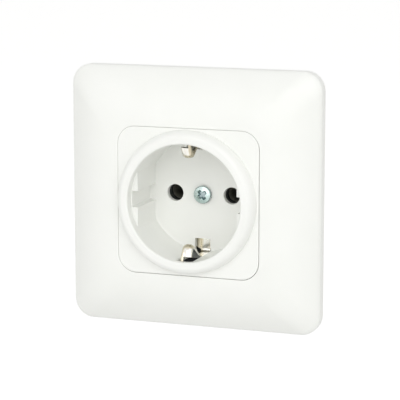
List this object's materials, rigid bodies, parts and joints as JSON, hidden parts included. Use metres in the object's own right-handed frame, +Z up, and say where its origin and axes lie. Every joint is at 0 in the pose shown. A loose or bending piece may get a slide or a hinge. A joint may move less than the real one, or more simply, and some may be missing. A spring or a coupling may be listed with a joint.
{
  "type": "flush-mounted earthed wall socket",
  "caption": "Flush-mounted earthed wall socket with a crowned square frame, a round well with side earth clips, and its box insert with terminals and claws.",
  "frame": {"origin": "centre of the wall plane, on the axis of the round well", "axes": "+X to the right seen from the room, +Y into the wall, +Z up"},
  "size_m": [0.0824, 0.0434, 0.0824],
  "materials": {
    "white_plastic": "satin white",
    "black_plastic": "matt black",
    "grey_plastic": "matt dark grey",
    "zinc_steel": "bright zinc plating",
    "nickel": "warm nickel plating",
    "brass": "bare brass"
  },
  "bodies": {
    "socket": {"cover_frame": "white_plastic", "centre_cover": "white_plastic", "cover_screw": "zinc_steel", "earth_bush": "brass", "earth_strap": "nickel", "contact_cover": "black_plastic", "mechanism_base": "grey_plastic", "live_contact": "brass", "neutral_contact": "brass", "support_ring": "zinc_steel", "ring_rivet_1": "zinc_steel", "ring_rivet_2": "zinc_steel", "ring_rivet_3": "zinc_steel", "ring_rivet_4": "zinc_steel", "contact_cover_screw_1": "zinc_steel", "contact_cover_screw_2": "zinc_steel"},
    "live_screw": {"live_terminal_screw": "zinc_steel"},
    "live_cage": {"live_terminal_cage": "zinc_steel"},
    "neutral_screw": {"neutral_terminal_screw": "zinc_steel"},
    "neutral_cage": {"neutral_terminal_cage": "zinc_steel"},
    "earth_screw": {"earth_terminal_screw": "zinc_steel"},
    "earth_cage": {"earth_terminal_cage": "zinc_steel"},
    "left_claw_screw": {"claw_screw_left": "zinc_steel"},
    "left_claw_nut": {"claw_nut_left": "zinc_steel"},
    "left_claw": {"claw_left": "zinc_steel"},
    "right_claw_screw": {"claw_screw_right": "zinc_steel"},
    "right_claw_nut": {"claw_nut_right": "zinc_steel"},
    "right_claw": {"claw_right": "zinc_steel"}
  },
  "joints": [
    {"name": "live_screw_turn", "type": "hinge", "parent": "socket", "child": "live_screw", "pos_m": [-0.016, 0.0122, -0.01], "axis": [0, 1, 0], "range_deg": [0, 1800]},
    {"name": "live_cage_rise", "type": "slide", "parent": "socket", "child": "live_cage", "axis": [0, -1, 0], "range_m": [0, 0.003]},
    {"name": "neutral_screw_turn", "type": "hinge", "parent": "socket", "child": "neutral_screw", "pos_m": [0.016, 0.0122, -0.01], "axis": [0, 1, 0], "range_deg": [0, 1800]},
    {"name": "neutral_cage_rise", "type": "slide", "parent": "socket", "child": "neutral_cage", "axis": [0, -1, 0], "range_m": [0, 0.003]},
    {"name": "earth_screw_turn", "type": "hinge", "parent": "socket", "child": "earth_screw", "pos_m": [0.013, 0.0122, 0.013], "axis": [0, 1, 0], "range_deg": [0, 1800]},
    {"name": "earth_cage_rise", "type": "slide", "parent": "socket", "child": "earth_cage", "axis": [0, -1, 0], "range_m": [0, 0.003]},
    {"name": "left_claw_screw_turn", "type": "hinge", "parent": "socket", "child": "left_claw_screw", "pos_m": [-0.0252, -0.0013, 0], "axis": [0, 1, 0], "range_deg": [0, 4320]},
    {"name": "left_claw_nut_draw", "type": "slide", "parent": "socket", "child": "left_claw_nut", "axis": [0, -1, 0], "range_m": [0, 0.006]},
    {"name": "left_claw_spread", "type": "hinge", "parent": "left_claw_nut", "child": "left_claw", "pos_m": [-0.0252, 0.017, 0], "axis": [0, 0, 1], "range_deg": [0, 25]},
    {"name": "right_claw_screw_turn", "type": "hinge", "parent": "socket", "child": "right_claw_screw", "pos_m": [0.0252, -0.0013, 0], "axis": [0, 1, 0], "range_deg": [0, 4320]},
    {"name": "right_claw_nut_draw", "type": "slide", "parent": "socket", "child": "right_claw_nut", "axis": [0, -1, 0], "range_m": [0, 0.006]},
    {"name": "right_claw_spread", "type": "hinge", "parent": "right_claw_nut", "child": "right_claw", "pos_m": [0.0252, 0.017, 0], "axis": [0, 0, -1], "range_deg": [0, 25]}
  ],
  "couplings": [
    {"joint": "live_screw_turn", "follows": "live_cage_rise", "rad_per_m": 10472},
    {"joint": "neutral_screw_turn", "follows": "neutral_cage_rise", "rad_per_m": 10472},
    {"joint": "earth_screw_turn", "follows": "earth_cage_rise", "rad_per_m": 10472},
    {"joint": "left_claw_screw_turn", "follows": "left_claw_nut_draw", "rad_per_m": 12566},
    {"joint": "left_claw_spread", "follows": "left_claw_nut_draw", "rad_per_m": 72.72},
    {"joint": "right_claw_screw_turn", "follows": "right_claw_nut_draw", "rad_per_m": 12566},
    {"joint": "right_claw_spread", "follows": "right_claw_nut_draw", "rad_per_m": 72.72}
  ]
}
